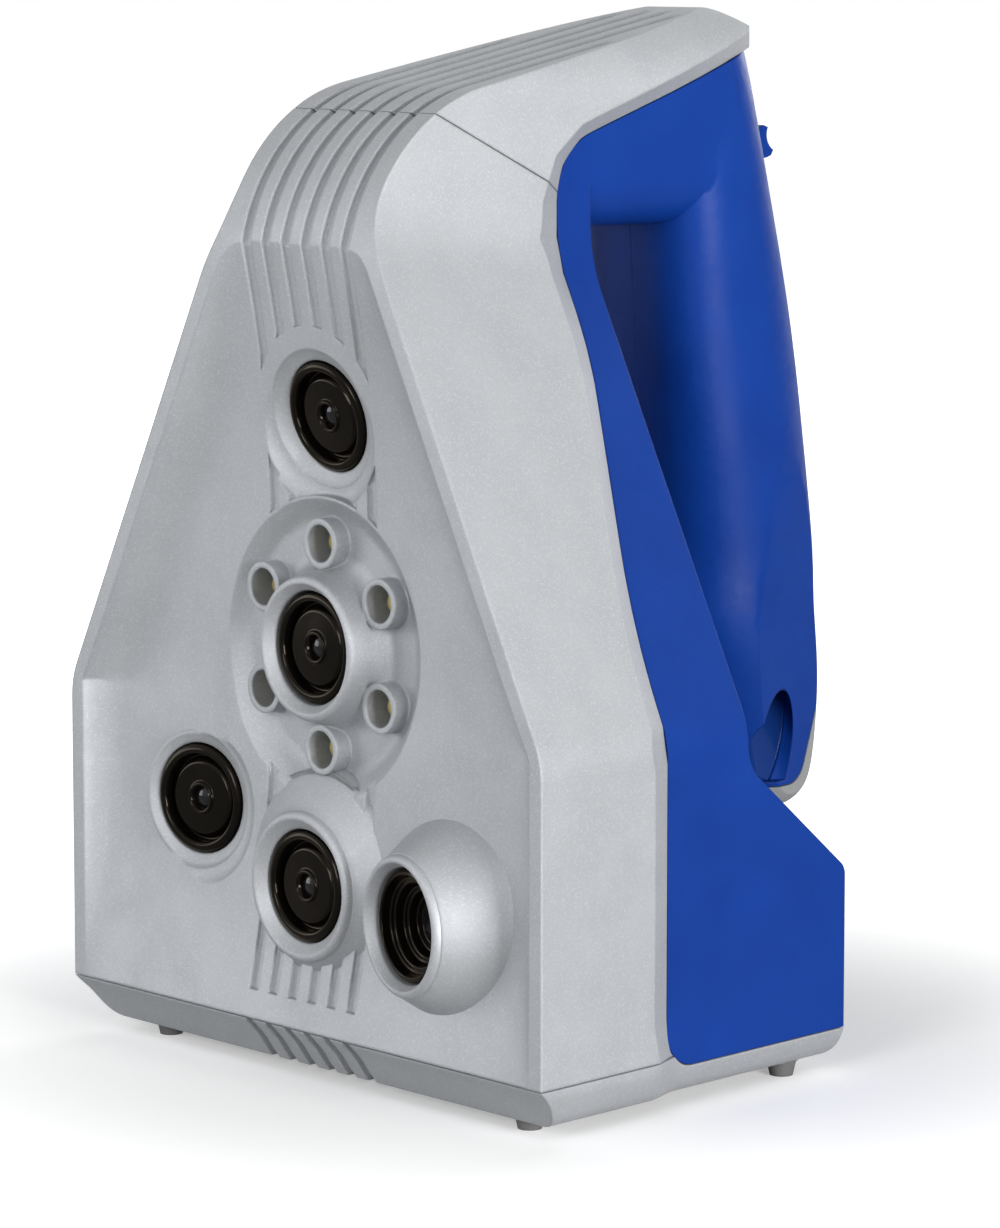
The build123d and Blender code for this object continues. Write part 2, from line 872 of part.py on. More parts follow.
def ceiling_scoop(spread):
    """The slanting underside of the bridge on both sides of the finger gap."""
    side = neck_half - blue_inset
    inner = scoop_half - spread
    low, ridge = gap_ceiling + spread, gap_ridge + spread
    bend = (inner + (side - inner) * scoop_bow_share, low + (ridge - low) * (1 - scoop_bow_share) / 2)
    slant = ThreePointArc((inner, low), bend, (side + spread, ridge))
    rest = Polyline((side + spread, ridge), (side + overrun, ridge), (side + overrun, low - overrun),
                    (inner, low - overrun), (inner, low))
    length = body_rear + overrun - gap_front + 2 * spread
    form = extrude(front_plane(body_rear + overrun + spread) * face_of(slant, rest), amount=length)
    return both_sides(form)


def cap_region(gap):
    """Side view region of the end cap: under the grip and up along its rear edge."""
    lean = tan(radians(cap_lean))
    front = body_rear + overrun
    points = (
        (front, cap_height - gap),
        (cap_turn + gap, cap_height - gap),
        (cap_turn + gap + (cap_rear_height - cap_height) * lean * 2, cap_rear_height),
        (far, cap_rear_height),
        (far, 0),
        (front, 0),
    )
    return side_prism(rounded(points, (0, cap_turn_radius, 0, 0, 0, 0)))


def pocket_plane(side):
    """Sketch plane in the mouth of a cable pocket: Z runs up and inwards to the socket."""
    tilt = radians(pocket_tilt)
    mouth = (side * pocket_side, pocket_back, pocket_height)
    return Plane(origin=mouth, x_dir=(0, 1, 0), z_dir=(-side * sin(tilt), 0, cos(tilt)))


def pocket_cut(side):
    """The slanting round pocket, open to the side and floored above the cap."""
    cut = pocket_plane(side) * rod(pocket_radius, -far / 4, pocket_depth)
    floor = cap_height + pocket_floor
    return cut & block((-far, 0, floor), (far, far, far))


def rocker_plane():
    """Sketch plane on the back of the grip: X across, Y up along the grip, Z outwards."""
    lean = radians(rocker_lean)
    place = (0, rocker_rear, rocker_height)
    return Plane(origin=place, x_dir=(-1, 0, 0), z_dir=(0, cos(lean), sin(lean)))


def rocker_slot():
    half = rocker_half + rocker_side_gap
    tall = rocker_tall / 2 + rocker_end_gap
    return rocker_plane() * block((-half, -tall, -rocker_root - grip_wall), (half, tall, overrun))


def rocker_pin_way(radius, half):
    return rocker_plane() * (Pos(0, 0, -rocker_pin_depth) * (Rot(0, 90, 0) * rod(radius, -half, half)))


def rear_housing(hollow):
    """Both halves of the blue housing in one, before they are parted down the middle."""
    region = rear_region(seam_gap)
    body = (casing(blue_inset, 0) & region) - behind_grip() - ceiling_scoop(0)
    hand = grip_form(0) & region
    inside = hollow - ceiling_scoop(wall)
    shell = (body + hand) - inside - grip_form(grip_wall) - cap_region(-seam_gap)
    plane = rocker_plane()
    lug_half = lug_width / 2
    lug_top = -rocker_pin_depth + rocker_pin_radius + lug_cover
    lug = block((0, -lug_half, -rocker_pin_depth - lug_half), (lug_thickness, lug_half, lug_top))
    post = rod(switch_post_radius, -switch_depth, -switch_post_top)
    for side in (-1, 1):
        inner = rocker_half + rocker_side_gap
        place = inner if side > 0 else -inner - lug_thickness
        shell += plane * (Pos(place, 0) * lug)
        shell += plane * (Pos(side * switch_post_place, 0) * post)
        shell -= pocket_cut(side)
    for y, z, half in bolt_halves():
        boss = along_x(bolt_boss_radius, y, z, -half_width, half_width)
        shell += boss & (hollow + grip_form(grip_wall / 2))
        shell -= along_x(bolt_core, y, z, -half, bolt_reach)
        shell -= along_x(screw_head_radius + lens_clearance, y, z, -half_width, -half + bolt_head_depth)
    shell -= rocker_slot()
    shell -= rocker_pin_way(rocker_pin_radius, rocker_half + rocker_side_gap + lug_thickness)
    return shell


def bolt_halves():
    """Each bolt with the half width of the blue housing where it crosses."""
    return [(y, z, half or flank_half(y, z, blue_inset)) for y, z, half in bolt_places]


def housing_half(housing, side):
    gap = seam_gap / 4
    right = block((gap, -far, 0), (far, far, far))
    keep = right if side > 0 else mirror(right, about=Plane.YZ)
    return one_solid(housing & keep)


def end_cap():
    spigot = grip_form(grip_wall + block_clearance) & block((-far, 0, 0), (far, far, cap_height))
    cap = grip_form(0) & cap_region(0)
    return one_solid(cap + spigot)


def socket_block():
    """The glossy insert that lines the pockets and holds both sockets."""
    form = grip_form(grip_wall + block_clearance)
    form = form & block((-far, 0, cap_height + seam_gap), (far, far, block_top))
    form = form - cap_region(-2 * seam_gap)
    way = rod(socket_radius + block_clearance, 0, pocket_depth + socket_length + seam_gap)
    for side in (-1, 1):
        form -= pocket_cut(side)
        form -= pocket_plane(side) * way
    return one_solid(form)


def power_socket():
    body = rod(socket_radius, pocket_depth, pocket_depth + socket_length)
    body -= rod(jack_bore, pocket_depth - socket_lip, pocket_depth + socket_length - socket_lip)
    body += rod(jack_pin, pocket_depth, pocket_depth + socket_length - socket_lip / 2)
    return pocket_plane(-1) * body


def data_socket():
    end = pocket_depth + socket_length
    body = rod(socket_radius, pocket_depth, end)
    mouth = (-data_long, -data_short, pocket_depth - socket_lip)
    body -= block(mouth, (data_long, data_short, end - socket_lip))
    long, short = data_long * tongue_long_share, data_short * tongue_short_share
    body += block((-long, -short, pocket_depth + socket_lip), (long, short, end - socket_lip / 2))
    return pocket_plane(1) * body


# Rocker and its switches

def rocker_button():
    """A rocker with two raised lips and a dip between them, on a pin across the grip."""
    tall, root = rocker_tall / 2, -rocker_root
    foot, lip = tall * rocker_foot_share, tall * rocker_lip_share
    dip = rocker_rise - rocker_dip
    lips = ThreePointArc((lip, rocker_rise), (0, dip), (-lip, rocker_rise))
    outline = Polyline((-lip, rocker_rise), (-tall, dip), (-tall, 0), (-foot, root),
                       (foot, root), (tall, 0), (tall, dip), (lip, rocker_rise))
    body = extrude(Plane.YZ * face_of(lips, outline), amount=rocker_half, both=True)
    prong_end = -switch_depth + switch_height + switch_gap
    for side in (-1, 1):
        body += Pos(0, side * rocker_prong_place, 0) * rod(rocker_prong / 2, prong_end, root + rocker_prong)
    return rocker_plane() * body - rocker_pin_way(rocker_pin_radius + rocker_pin_gap, far)


def rocker_pin():
    return rocker_pin_way(rocker_pin_radius, rocker_half + rocker_side_gap + lug_thickness - rocker_pin_gap)


def switch_board():
    half, tall = switch_board_width / 2, switch_board_tall / 2
    low = (-half, -tall, -switch_depth - board_thickness)
    return rocker_plane() * block(low, (half, tall, -switch_depth))


def tact_switches():
    half = switch_size / 2
    near = rocker_prong_place - rocker_prong / 2
    switch = block((-half, near, -switch_depth), (half, near + switch_size, -switch_depth + switch_height))
    return [rocker_plane() * switch, rocker_plane() * mirror(switch, about=Plane.XZ)]


# Optics

def barrel_length(name):
    return bench_rear + barrel_rear_gap - lens_places[name][1]


def glass_sizes(name):
    """Radius of a front glass and how far its edge lies behind the black window."""
    if name == "projector":
        return projector_glass_radius, projector_glass_back
    return camera_glass_radius, camera_glass_back


def camera_face():
    """Half section of a camera's face from its rim inwards: channel, flat disc and raised eye."""
    eye = eye_ahead - disc_back
    return ((channel_outer, 0), (channel_outer, -channel_depth), (channel_inner, -channel_depth),
            (channel_inner, -disc_back - disc_round), (channel_inner - disc_round, -disc_back),
            (eye_radius, -disc_back), (eye_radius, eye), (eye_mouth, eye))


def projector_face():
    """Half section of the projector's face from its rim inwards: three steps of a funnel."""
    points, back, radius = [], 0, funnel_mouth
    for step_back in (funnel_first, funnel_second, projector_glass_back):
        points += [(radius + funnel_draft, -back), (radius, -step_back)]
        back, radius = step_back, radius - funnel_narrowing
    return points


def lens_barrel(name):
    """A black barrel: rounded rim, face, and a stepped bore with the seat of the glass."""
    rear = -barrel_length(name)
    glass, back = glass_sizes(name)
    seat = -back - glass_depth
    face = projector_face() if name == "projector" else camera_face()
    outline = (
        (barrel_bore, rear), (barrel_neck, rear), (barrel_neck, -barrel_step),
        (lens_radius, -barrel_step), (lens_radius, -barrel_lip), (lens_radius - barrel_lip / 3, -barrel_lip / 3),
        (lens_radius - barrel_lip, 0), *face, (glass, -back), (glass, seat), (barrel_bore, seat),
    )
    return station(name) * turned_outline(outline)


def lens_glass(name):
    radius, back = glass_sizes(name)
    seat = -back - glass_depth
    edge = radius - bench_clearance
    top = (0, glass_crown - back)
    crown = ThreePointArc(top, (edge / 2, glass_crown * crown_share - back), (edge, -back))
    rest = Polyline((edge, -back), (edge, seat), (0, seat), top)
    return station(name) * turned(crown, rest)


def sensor_board(name):
    rear = -barrel_length(name)
    half = sensor_board_size / 2
    board = block((-half, -half, rear - board_thickness), (half, half, rear))
    for x in (-1, 1):
        for y in (-1, 1):
            place = half - sensor_hole_inset
            board -= Pos(x * place, y * place) * rod(sensor_hole, rear - far / 4, rear + overrun)
    return station(name) * board


def lamp_house():
    rear = -barrel_length("projector")
    half = lamp_house_size / 2
    return station("projector") * block((-half, -half, rear - lamp_house_depth), (half, half, rear))


def lamp_sink():
    """Finned heat sink on the back of the projector lamp."""
    front = -barrel_length("projector") - lamp_house_depth
    half = lamp_house_size / 2
    sink = block((-half, -half, front - sink_plate), (half, half, front))
    for n in range(fin_count):
        x = -half + (lamp_house_size - fin_thickness) * n / (fin_count - 1)
        rear = front - sink_plate
        sink += block((x, -half, rear - fin_depth), (x + fin_thickness, half, rear))
    return station("projector") * sink


def ring_board_front():
    return texture_camera_back + ring_floor + ring_wall + ring_board_gap


def flash_ring_board():
    front = lens_places["texture_camera"][1] - ring_board_front()
    board = rod(ring_board_outer, front - board_thickness, front) - rod(ring_board_inner, front - far, far)
    return station("texture_camera") * board


def flash_lamps():
    front = lens_places["texture_camera"][1] - ring_board_front()
    dome = front + lamp_length - lamp_radius
    half_way = (lamp_radius * sin(radians(45)), dome + lamp_radius * cos(radians(45)))
    tip = (0, front + lamp_length)
    round_end = ThreePointArc((lamp_radius, dome), half_way, tip)
    lamp = turned(round_end, Polyline(tip, (0, front), (lamp_radius, front), (lamp_radius, dome)))
    return [station("texture_camera") * (spot * lamp) for spot in lamp_spots()]


def optical_bench():
    """A plate behind the front wall with a hole for each barrel."""
    def half(z):
        return flank_half(bench_rear, z, flank_wall + bench_margin)
    points = ((half(bench_bottom), bench_bottom), (half(flank_top), flank_top), (half(bench_top), bench_top))
    outline = polygon([*points, *[(-x, z) for x, z in reversed(points)]])
    plate = extrude(front_plane(bench_rear) * outline, amount=bench_thickness)
    for name in lens_places:
        plate -= station(name) * rod(barrel_neck + bench_clearance, -far / 4, 0)
    for x, z in post_places:
        for side in (-1, 1):
            hole = along_y(screw_radius + bench_clearance, side * x, z, bench_front, bench_rear)
            plate -= hole
    return plate


def cap_screw(grip):
    """A screw with its head above Z = 0 and its shank below."""
    return rod(screw_head_radius, 0, screw_head) + rod(screw_radius - bench_clearance, -grip, 0)


def bench_screws():
    grip = bench_thickness + screw_grip - screw_head
    return [Plane(origin=(side * x, bench_rear, z), z_dir=(0, 1, 0)) * cap_screw(grip)
            for x, z in post_places for side in (-1, 1)]


def standoff_places():
    return [(side * (main_board_half - standoff_inset), z) for side in (-1, 1)
            for z in (main_board_bottom + standoff_inset, main_board_top - standoff_inset)]


def standoffs():
    return [along_y(standoff_radius, x, z, bench_rear, main_board_front) for x, z in standoff_places()]


def main_board():
    """The processor board with two large chips on its rear."""
    board = block((-main_board_half, main_board_front, main_board_bottom),
                  (main_board_half, main_board_front + board_thickness, main_board_top))
    for side in (-1, 1):
        x = side * chip_pitch / 2 - chip_size / 2
        rear = main_board_front + board_thickness
        board += block((x, rear, chip_height), (x + chip_size, rear + chip_rise, chip_height + chip_size))
    return board


def power_board():
    board = block((-power_board_half, power_board_front, power_board_height),
                  (power_board_half, power_board_rear, power_board_height + board_thickness))
    for x, y in base_posts():
        board -= Pos(x, y) * rod(screw_radius, 0, far)
    return board


def base_screws():
    top = power_board_height + board_thickness
    grip = power_board_height + board_thickness - foot_height - wall - screw_head
    shank = bolt_core - bench_clearance
    screw = rod(screw_head_radius, 0, screw_head) + rod(shank, -grip, 0)
    return [Pos(x, y, top) * screw for x, y in base_posts()]


def feet():
    foot = Solid.make_cone(foot_bottom_radius, foot_top_radius - bench_clearance, foot_height)
    foot += rod(foot_top_radius - bench_clearance, foot_height, foot_height + foot_seat)
    return [Pos(x, y) * foot for x, y in foot_places()]


def grip_screws():
    screws = []
    for y, z, half in bolt_halves():
        head = -half + bolt_head_depth
        shank = along_x(bolt_core - bench_clearance, y, z, head, bolt_reach - screw_head)
        screws.append(shank + along_x(screw_head_radius, y, z, head - screw_head, head))
    return screws


# Fan under the vents

def fan_plane():
    """Sketch plane on the upper face of the fan, which lies along the sloping top."""
    slope = radians(top_slope)
    top = brow_corner + fan_place * tan(slope) - wall - fan_drop / 2
    return Plane(origin=(0, fan_place, top), x_dir=(1, 0, 0), z_dir=(0, -sin(slope), cos(slope)))


def fan_corners():
    place = fan_size / 2 - fan_corner
    return [(x * place, y * place) for x in (-1, 1) for y in (-1, 1)]


def fan_frame():
    """A square frame with a hub plate on three struts and a fixed shaft."""
    half = fan_size / 2
    frame = block((-half, -half, -fan_depth), (half, half, 0)) - rod(fan_bore, -fan_depth - overrun, overrun)
    for place in fan_corners():
        frame -= Pos(*place) * rod(fan_hole, -fan_depth - overrun, overrun)
    frame += rod(fan_hub, -fan_depth, -fan_depth + fan_plate)
    side = fan_strut / 2
    strut = block((0, -side, -fan_depth), (fan_bore + side, side, -fan_depth + fan_plate))
    for n in range(fan_struts):
        frame += Rot(0, 0, 90 + 360 / fan_struts * n) * strut
    frame += rod(fan_shaft, -fan_depth, -fan_plate)
    return fan_plane() * frame


def fan_rotor():
    """Hub and pitched blades that turn on the shaft."""
    low, high = -fan_depth + fan_plate + fan_end_gap, -fan_end_gap
    rotor = rod(fan_hub, low, high)
    reach = fan_bore - fan_blade_gap
    middle = (low + high) / 2
    lean = 90 - fan_blade_pitch
    chord = (high - low) / 2 / cos(radians(lean)) * fan_blade_share
    thick = fan_blade_thickness / 2
    blade = Rot(lean, 0, 0) * block((fan_hub - fan_strut, -thick, -chord), (reach, thick, chord))
    for n in range(fan_blades):
        rotor += Rot(0, 0, 360 / fan_blades * n) * (Pos(0, 0, middle) * blade)
    rotor = rotor & rod(reach, low, high)
    return fan_plane() * (rotor - rod(fan_shaft + fan_shaft_gap, -far, -fan_plate + fan_end_gap))


def fan_screws():
    head = rod(screw_head_radius - screw_head / 2, 0, screw_head)
    screw = head + rod(fan_hole - bench_clearance, 0, screw_head + fan_depth + wall / 2)
    return [fan_plane() * (Pos(x, y, -fan_depth - screw_head) * screw) for x, y in fan_corners()]


def save(name, shape):
    """Writes one node with the middle of the scanner's depth on Y = 0."""
    solids = shape if isinstance(shape, list) else [shape]
    parts = [Pos(0, rim_place, 0) * solid for piece in solids for solid in piece.solids()]
    export_step(parts[0] if len(parts) == 1 else Compound(parts), f"parts/{name}.step")


def main():
    os.makedirs("parts", exist_ok=True)
    hollow = (casing(flank_wall, wall) & tail_plan(wall)) - dish(wall)
    silver = (casing(0, 0) & tail_plan(0)) - rear_region(0) - bevel_tool()
    save("front_shell", front_shell(silver, hollow))
    save("top_cover", top_cover(silver, hollow))
    save("base_cover", base_cover(hollow))
    housing = rear_housing(hollow)
    save("rear_half_right", housing_half(housing, 1))
    save("rear_half_left", housing_half(housing, -1))
    save("grip_end_cap", end_cap())
    save("socket_block", socket_block())
    save("power_socket", power_socket())
    save("data_socket", data_socket())
    save("feet", feet())
    save("optical_bench", optical_bench())
    for name in lens_places:
        save(f"{name}_barrel", lens_barrel(name))
        save(f"{name}_glass", lens_glass(name))
        if name != "projector":
            save(f"{name}_board", sensor_board(name))
    save("projector_lamp_house", lamp_house())
    save("projector_heat_sink", lamp_sink())
    save("flash_ring_board", flash_ring_board())
    save("flash_lamps", flash_lamps())
    save("main_board", main_board())
    save("board_standoffs", standoffs())
    save("power_board", power_board())
    save("fan_frame", fan_frame())
    save("fan_rotor", fan_rotor())
    save("rocker_button", rocker_button())
    save("rocker_pin", rocker_pin())
    save("switch_board", switch_board())
    save("tact_switches", tact_switches())
    save("bench_screws", bench_screws())
    save("base_screws", base_screws())
    save("grip_screws", grip_screws())
    save("fan_screws", fan_screws())


main()
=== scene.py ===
# %% [markdown]
# # A handheld three-d scanner, dressed for a studio picture
#
# The scanner is a silver painted front with five lenses, a blue moulded rear with a pistol grip, and
# a small rocker on the back of the grip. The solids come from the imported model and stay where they
# are. This lesson gives them their finishes, fits the base and the lens cones more closely, turns
# finer lenses, and sets a plain white studio.

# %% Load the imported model
import json
import math
import bmesh
import bpy
import numpy as np
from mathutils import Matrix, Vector

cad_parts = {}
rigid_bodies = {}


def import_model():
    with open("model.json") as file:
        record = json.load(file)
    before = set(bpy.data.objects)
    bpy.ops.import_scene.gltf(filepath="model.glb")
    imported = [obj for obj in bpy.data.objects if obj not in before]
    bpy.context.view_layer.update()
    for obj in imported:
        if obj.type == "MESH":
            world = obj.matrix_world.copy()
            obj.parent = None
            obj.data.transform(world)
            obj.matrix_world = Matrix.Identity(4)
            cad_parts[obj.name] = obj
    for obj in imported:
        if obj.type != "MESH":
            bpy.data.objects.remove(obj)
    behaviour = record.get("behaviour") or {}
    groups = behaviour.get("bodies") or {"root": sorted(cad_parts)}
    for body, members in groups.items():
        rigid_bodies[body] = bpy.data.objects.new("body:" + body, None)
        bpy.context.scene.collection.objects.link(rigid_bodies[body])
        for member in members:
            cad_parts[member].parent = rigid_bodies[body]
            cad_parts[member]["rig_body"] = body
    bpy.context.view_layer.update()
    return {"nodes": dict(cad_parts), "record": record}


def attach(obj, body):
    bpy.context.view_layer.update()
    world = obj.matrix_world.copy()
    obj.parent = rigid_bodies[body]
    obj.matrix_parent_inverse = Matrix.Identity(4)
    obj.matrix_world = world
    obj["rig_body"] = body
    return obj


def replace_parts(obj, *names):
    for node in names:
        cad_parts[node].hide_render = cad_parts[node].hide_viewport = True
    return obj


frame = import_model()
scene = bpy.context.scene
millimetre = 0.001
# Y of the front rim in millimetres. Depths are counted from it towards the grip.
rim_place = -59.1575

# %% [markdown]
# ## The camera
#
# The picture was taken from the front right, a little above the middle, with a long lens. The place,
# the aim and the focal length were worked out from the outline of the object, so no shift is needed.

# %% Set the camera
camera_place = Vector((670.8, -608.46, 204.1)) * millimetre
camera_aim = Vector((0.0, -10.46, 80.7)) * millimetre
sensor_width, focal_length = 36.0, 179.1
nearest_sight = 0.05
camera_data = bpy.data.cameras.new("studio_camera")
camera_data.sensor_fit = "HORIZONTAL"
camera_data.sensor_width = sensor_width
camera_data.lens = focal_length
camera_data.clip_start = nearest_sight
camera = bpy.data.objects.new("studio_camera", camera_data)
camera.location = camera_place
camera.rotation_euler = (camera_aim - camera_place).to_track_quat("-Z", "Y").to_euler()
scene.collection.objects.link(camera)
scene.camera = camera
scene.view_settings.view_transform = "Standard"
print("camera", round((camera_aim - camera_place).length, 3), "m from the object")

# %% [markdown]
# ## Small helpers for shader nodes
#
# A finish is a tree of nodes. These helpers add a node with its settings in one line, and join one
# socket to another, so that each finish below reads like a short list.

# %% Node helpers
def add_node(tree, kind, settings=None, inputs=None):
    """One node of a kind, with its settings by name and its input values by socket name."""
    node = tree.nodes.new(kind)
    for name, value in (settings or {}).items():
        setattr(node, name, value)
    for name, value in (inputs or {}).items():
        node.inputs[name].default_value = value
    return node


def join(tree, start, end):
    """A link from an output socket to an input socket."""
    tree.links.new(start, end)


def new_group(name, inputs, outputs):
    """An empty node group with named sockets, its inner input and output nodes ready."""
    group = bpy.data.node_groups.new(name, "ShaderNodeTree")
    for label, value in inputs:
        socket = group.interface.new_socket(label, in_out="INPUT", socket_type="NodeSocketFloat")
        socket.default_value = value
    for label in outputs:
        group.interface.new_socket(label, in_out="OUTPUT", socket_type="NodeSocketFloat")
    return group, group.nodes.new("NodeGroupInput"), group.nodes.new("NodeGroupOutput")


print("helpers ready")

# %% [markdown]
# ## Grain that every moulded or painted skin shares
#
# A moulded plastic skin copies the fine texture of its tool, and its colour drifts a little from
# place to place. One group gives a fine height, a slow tone and a middle-sized change of gloss, all
# from noise in Object coordinates. An image could hold the same grain, but noise stays sharp at any
# distance and needs no unwrapping.

# %% Group: moulded grain
def build_moulded_grain():
    """Height: fine noise. Tone: noise sixty times wider. Gloss: noise ten times wider."""
    group, source, result = new_group("moulded_grain", [("Grain Size", 2600.0)], ["Height", "Tone", "Gloss"])
    place = add_node(group, "ShaderNodeTexCoord")
    for label, scale_share, detail in (("Height", 1.0, 3.0), ("Tone", 1 / 60, 2.0), ("Gloss", 1 / 10, 4.0)):
        size = add_node(group, "ShaderNodeMath", {"operation": "MULTIPLY"})
        size.inputs[1].default_value = scale_share
        noise = add_node(group, "ShaderNodeTexNoise", inputs={"Detail": detail, "Roughness": 0.55})
        join(group, source.outputs["Grain Size"], size.inputs[0])
        join(group, size.outputs[0], noise.inputs["Scale"])
        join(group, place.outputs["Object"], noise.inputs["Vector"])
        join(group, noise.outputs["Fac"], result.inputs[label])
    return group


moulded_grain = build_moulded_grain()
print("group", moulded_grain.name)

# %% [markdown]
# ## Flakes in silver paint, with a painted glint
#
# Silver paint holds tiny flakes that lie at slightly different angles. Under a lamp some of them
# light up and the others stay dull. A cell texture with a random shade in each cell paints that glint
# into the colour: only the brightest cells count as lit flakes, whatever the lamps do.

# %% Group: flake glint
def build_flake_glint():
    """Flake: a painted glint, zero where a cell's random shade is below the dull share, then a soft rise to
    one.
    """
    sizes = [("Flake Size", 3000.0), ("Dull Share", 0.86)]
    group, source, result = new_group("flake_glint", sizes, ["Flake"])
    place = add_node(group, "ShaderNodeTexCoord")
    cells = add_node(group, "ShaderNodeTexVoronoi", {"feature": "F1"})
    shades = add_node(group, "ShaderNodeSeparateColor")
    lit = add_node(group, "ShaderNodeMapRange", {"interpolation_type": "SMOOTHSTEP"})
    join(group, place.outputs["Object"], cells.inputs["Vector"])
    join(group, source.outputs["Flake Size"], cells.inputs["Scale"])
    join(group, cells.outputs["Color"], shades.inputs["Color"])
    join(group, shades.outputs["Red"], lit.inputs["Value"])
    join(group, source.outputs["Dull Share"], lit.inputs["From Min"])
    join(group, lit.outputs["Result"], result.inputs["Flake"])
    return group


flake_glint = build_flake_glint()
print("group", flake_glint.name)

# %% [markdown]
# ## Marks of handling
#
# A tool that is held every day carries faint, wide smudges that only show in the gloss. A distorted
# noise, cut softly in the middle, gives patches with clean skin between them.

# %% Group: handling marks
def build_handling_marks():
    """Smudge: distorted noise, brought up softly above its middle so that patches stand alone."""
    group, source, result = new_group("handling_marks", [("Patch Size", 60.0)], ["Smudge"])
    place = add_node(group, "ShaderNodeTexCoord")
    noise = add_node(group, "ShaderNodeTexNoise", inputs={"Detail": 5.0, "Roughness": 0.6, "Distortion": 0.8})
    patch = add_node(group, "ShaderNodeMapRange", {"interpolation_type": "SMOOTHSTEP"},
                     {"From Min": 0.45, "From Max": 0.7})
    join(group, place.outputs["Object"], noise.inputs["Vector"])
    join(group, source.outputs["Patch Size"], noise.inputs["Scale"])
    join(group, noise.outputs["Fac"], patch.inputs["Value"])
    join(group, patch.outputs["Result"], result.inputs["Smudge"])
    return group


handling_marks = build_handling_marks()
print("group", handling_marks.name)

# %% [markdown]
# ## A skin: the common build of most finishes
#
# Paint, plastic, rubber and bare metal differ in numbers more than in kind: a colour that drifts
# between two shades, a gloss that varies between two values, and a fine relief. One function builds
# that tree, and each finish sets its own numbers on the shader. A second function lays another
# colour over a skin where a mask says so.

# %% The common skin
tone_low, tone_high = 0.3, 0.7
gloss_weight = 0.6
edge_samples = 4


def new_skin(name, shades, gloss, grain_size, relief, constants=None, edge=0.0):
    """A material: colour between two shades by Tone, roughness between the two gloss values by Gloss
    and Smudge, and the fine Height as relief in metres. A soft edge of a given radius in metres
    rounds the sharp corners of the solid in the light."""
    material = bpy.data.materials.new(name)
    material.use_nodes = True
    tree = material.node_tree
    tree.nodes.clear()
    output = add_node(tree, "ShaderNodeOutputMaterial")
    shader = add_node(tree, "ShaderNodeBsdfPrincipled", {"name": "shader"}, constants)
    grain = add_node(tree, "ShaderNodeGroup", {"node_tree": moulded_grain}, {"Grain Size": grain_size})
    marks = add_node(tree, "ShaderNodeGroup", {"node_tree": handling_marks})
    shade = add_node(tree, "ShaderNodeMix", {"data_type": "RGBA", "name": "shade"})
    shade.inputs["A"].default_value = (*shades[0], 1.0)
    shade.inputs["B"].default_value = (*shades[1], 1.0)
    spread = add_node(tree, "ShaderNodeMapRange", inputs={"From Min": tone_low, "From Max": tone_high})
    finish = add_node(tree, "ShaderNodeMath", {"operation": "MULTIPLY_ADD"})
    finish.inputs[1].default_value = gloss_weight
    rough = add_node(tree, "ShaderNodeMapRange", inputs={"To Min": gloss[0], "To Max": gloss[1]})
    bump = add_node(tree, "ShaderNodeBump", inputs={"Strength": 1.0, "Distance": relief})
    join(tree, grain.outputs["Tone"], spread.inputs["Value"])
    join(tree, spread.outputs["Result"], shade.inputs["Factor"])
    join(tree, shade.outputs["Result"], shader.inputs["Base Color"])
    join(tree, grain.outputs["Gloss"], finish.inputs[0])
    join(tree, marks.outputs["Smudge"], finish.inputs[2])
    join(tree, finish.outputs[0], rough.inputs["Value"])
    join(tree, rough.outputs["Result"], shader.inputs["Roughness"])
    join(tree, grain.outputs["Height"], bump.inputs["Height"])
    if edge:
        soft = add_node(tree, "ShaderNodeBevel", {"samples": edge_samples}, {"Radius": edge})
        join(tree, soft.outputs["Normal"], bump.inputs["Normal"])
    join(tree, bump.outputs["Normal"], shader.inputs["Normal"])
    join(tree, shader.outputs["BSDF"], output.inputs["Surface"])
    return material


def lay_over(material, mask, colour):
    """Another colour over a skin's own colour: none where the mask is zero, all of it at one."""
    tree = material.node_tree
    over = add_node(tree, "ShaderNodeMix", {"data_type": "RGBA"})
    over.inputs["B"].default_value = (*colour, 1.0)
    join(tree, mask, over.inputs["Factor"])
    join(tree, tree.nodes["shade"].outputs["Result"], over.inputs["A"])
    join(tree, over.outputs["Result"], tree.nodes["shader"].inputs["Base Color"])


print("skin builder ready")

# %% [markdown]
# ## Silver paint
#
# The front shell, the top cover and the base are plastic mouldings under a satin silver paint. On
# the flank the flakes show as a fine sparkle, painted as a lighter colour in small cells.

# %% Finish: silver paint
silver_shades = ((0.355, 0.367, 0.385), (0.38, 0.392, 0.41))
# Lighter colour of the flakes that catch a lamp: a painted glint
flake_glint_colour = (0.43, 0.44, 0.455)
paint_edge = 0.0007


def silver_paint():
    """Satin paint between metal and plastic, with a lighter colour on the lit flakes as a painted glint."""
    material = new_skin("silver_paint", silver_shades, (0.56, 0.64), 5200.0, 0.00002,
                        {"Metallic": 0.6, "Specular IOR Level": 0.35}, paint_edge)
    flake = add_node(material.node_tree, "ShaderNodeGroup", {"node_tree": flake_glint},
                     {"Flake Size": 4200.0, "Dull Share": 0.7})
    # The painted glint of the flakes lies over the paint's own colour
    lay_over(material, flake.outputs["Flake"], flake_glint_colour)
    return material


finishes = {"silver_shell": silver_paint()}
print("finish", finishes["silver_shell"].name)

# %% [markdown]
# ## Blue and grey mouldings
#
# The rear halves are dyed plastic with a fine tool grain. The socket pocket has a polished skin, the
# rocker is the same blue, and the cap at the foot of the grip is a plain grey moulding. Each row of
# the table holds a name, two shades, the range of roughness, the grain size and the relief.

